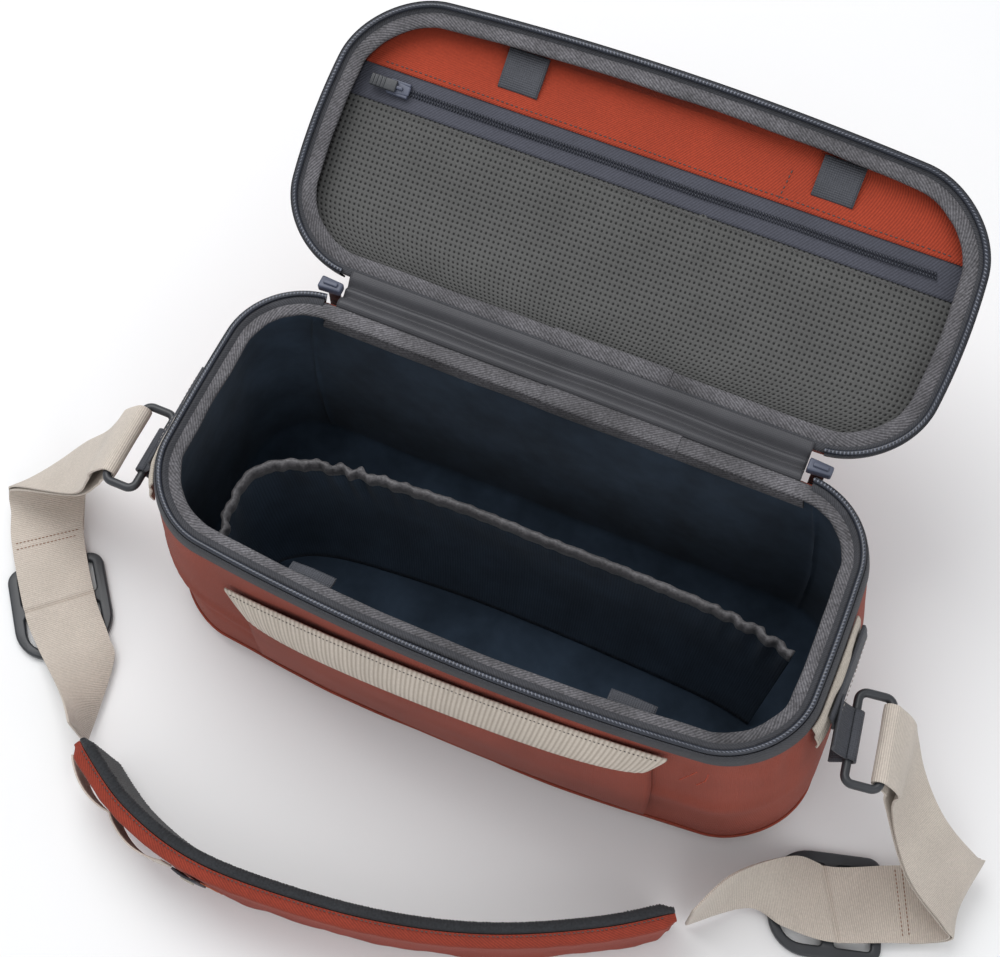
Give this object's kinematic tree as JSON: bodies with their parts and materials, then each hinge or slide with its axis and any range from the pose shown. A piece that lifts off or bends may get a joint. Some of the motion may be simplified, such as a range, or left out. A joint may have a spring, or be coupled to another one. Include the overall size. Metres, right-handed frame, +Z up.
{
  "type": "camera sling bag",
  "caption": "Boxy padded camera sling bag with a zip-round flip lid, inner pockets and a webbing shoulder strap with pad.",
  "frame": {"origin": "middle of the flat base, on the floor", "axes": "+X along the bag's length, -Y out of its front, +Z up"},
  "size_m": [0.5458, 0.4225, 0.2021],
  "materials": {
    "shell_fabric": "coated woven, matt",
    "navy_lining": "brushed suede",
    "wall_foam": "closed-cell foam",
    "base_board": "plain sheet",
    "zip_tape": "woven tape",
    "zip_coil": "moulded coil",
    "grey_binding": "twill tape",
    "dark_webbing": "woven",
    "cream_webbing": "ribbed webbing",
    "hinge_fabric": "smooth woven",
    "red_twill": "coarse woven",
    "pocket_mesh": "perforated mesh",
    "spacer_mesh": "bumpy spacer mesh",
    "dark_plastic": "moulded, satin",
    "slider_metal": "lacquered"
  },
  "bodies": {
    "bag": {"outer_shell": "shell_fabric", "lining": "navy_lining", "rear_foam": "wall_foam", "left_foam": "wall_foam", "front_foam": "wall_foam", "right_foam": "wall_foam", "base_board": "base_board", "base_foam": "wall_foam", "body_zip_tape": "zip_tape", "body_zip_coil": "zip_coil", "body_rim_binding": "grey_binding", "rear_rim_strip": "grey_binding", "front_pocket_panel": "shell_fabric", "front_pocket_binding": "cream_webbing", "stretch_pocket_panel": "navy_lining", "stretch_pocket_elastic": "grey_binding", "inner_tab_left": "dark_webbing", "inner_tab_right": "dark_webbing", "side_webbing_left": "cream_webbing", "side_webbing_right": "cream_webbing", "anchor_patch_left": "dark_webbing", "anchor_patch_right": "dark_webbing", "anchor_tab_left": "dark_webbing", "anchor_tab_right": "dark_webbing", "hinge_gusset": "hinge_fabric"},
    "lid": {"lid_shell": "shell_fabric", "lid_lining": "navy_lining", "lid_foam": "wall_foam", "lid_zip_tape": "zip_tape", "lid_zip_coil": "zip_coil", "lid_rim_binding": "grey_binding", "lid_trim_panel": "red_twill", "pocket_zip_tape": "zip_tape", "mesh_pocket": "pocket_mesh", "pocket_zip_coil": "zip_coil", "lid_tab_left": "dark_webbing", "lid_tab_right": "dark_webbing"},
    "strap": {"strap_ring_left": "dark_plastic", "strap_ring_right": "dark_plastic", "webbing_left": "cream_webbing", "webbing_right": "cream_webbing", "adjuster_left": "dark_plastic", "adjuster_right": "dark_plastic", "pad_foam": "spacer_mesh", "pad_cover": "shell_fabric", "pad_elastic": "cream_webbing", "pad_keeper": "dark_webbing", "pad_stud": "cream_webbing"},
    "zip_slider_left": {"zip_slider_left": "slider_metal"},
    "zip_slider_right": {"zip_slider_right": "slider_metal"},
    "zip_pull_left": {"zip_pull_left": "dark_plastic"},
    "zip_pull_right": {"zip_pull_right": "dark_plastic"},
    "pocket_zip_slider": {"pocket_zip_slider": "slider_metal"},
    "pocket_zip_pull": {"pocket_zip_pull": "dark_plastic"}
  },
  "joints": [
    {"name": "lid_hinge", "type": "hinge", "parent": "bag", "child": "lid", "pos_m": [0, 0.076, 0.1387], "axis": [1, 0, 0], "range_deg": [0, 154], "deforming": ["hinge_gusset"]},
    {"name": "strap_swing", "type": "hinge", "parent": "bag", "child": "strap", "pos_m": [0, -0.028, 0.104], "axis": [-1, 0, 0], "range_deg": [0, 100], "deforming": ["anchor_tab_left", "anchor_tab_right"]},
    {"name": "zip_slider_left_run", "type": "hinge", "parent": "bag", "child": "zip_slider_left", "pos_m": [-0.122, 0.0323, 0.13795], "axis": [0, 0, 1], "range_deg": [0, 50]},
    {"name": "zip_slider_right_run", "type": "hinge", "parent": "bag", "child": "zip_slider_right", "pos_m": [0.122, 0.0323, 0.13795], "axis": [0, 0, -1], "range_deg": [0, 50]},
    {"name": "zip_pull_left_swing", "type": "hinge", "parent": "zip_slider_left", "child": "zip_pull_left", "pos_m": [-0.1265, 0.077, 0.1345], "axis": [0, 1, 0], "range_deg": [-45, 45]},
    {"name": "zip_pull_right_swing", "type": "hinge", "parent": "zip_slider_right", "child": "zip_pull_right", "pos_m": [0.1265, 0.077, 0.1345], "axis": [0, 1, 0], "range_deg": [-45, 45]},
    {"name": "pocket_zip_slide", "type": "slide", "parent": "lid", "child": "pocket_zip_slider", "axis": [1, 0, 0], "range_m": [0, 0.25]},
    {"name": "pocket_zip_pull_flip", "type": "hinge", "parent": "pocket_zip_slider", "child": "pocket_zip_pull", "pos_m": [-0.1355, 0.17379, 0.17399], "axis": [0, 0.9044, 0.4266], "range_deg": [0, 150]}
  ]
}
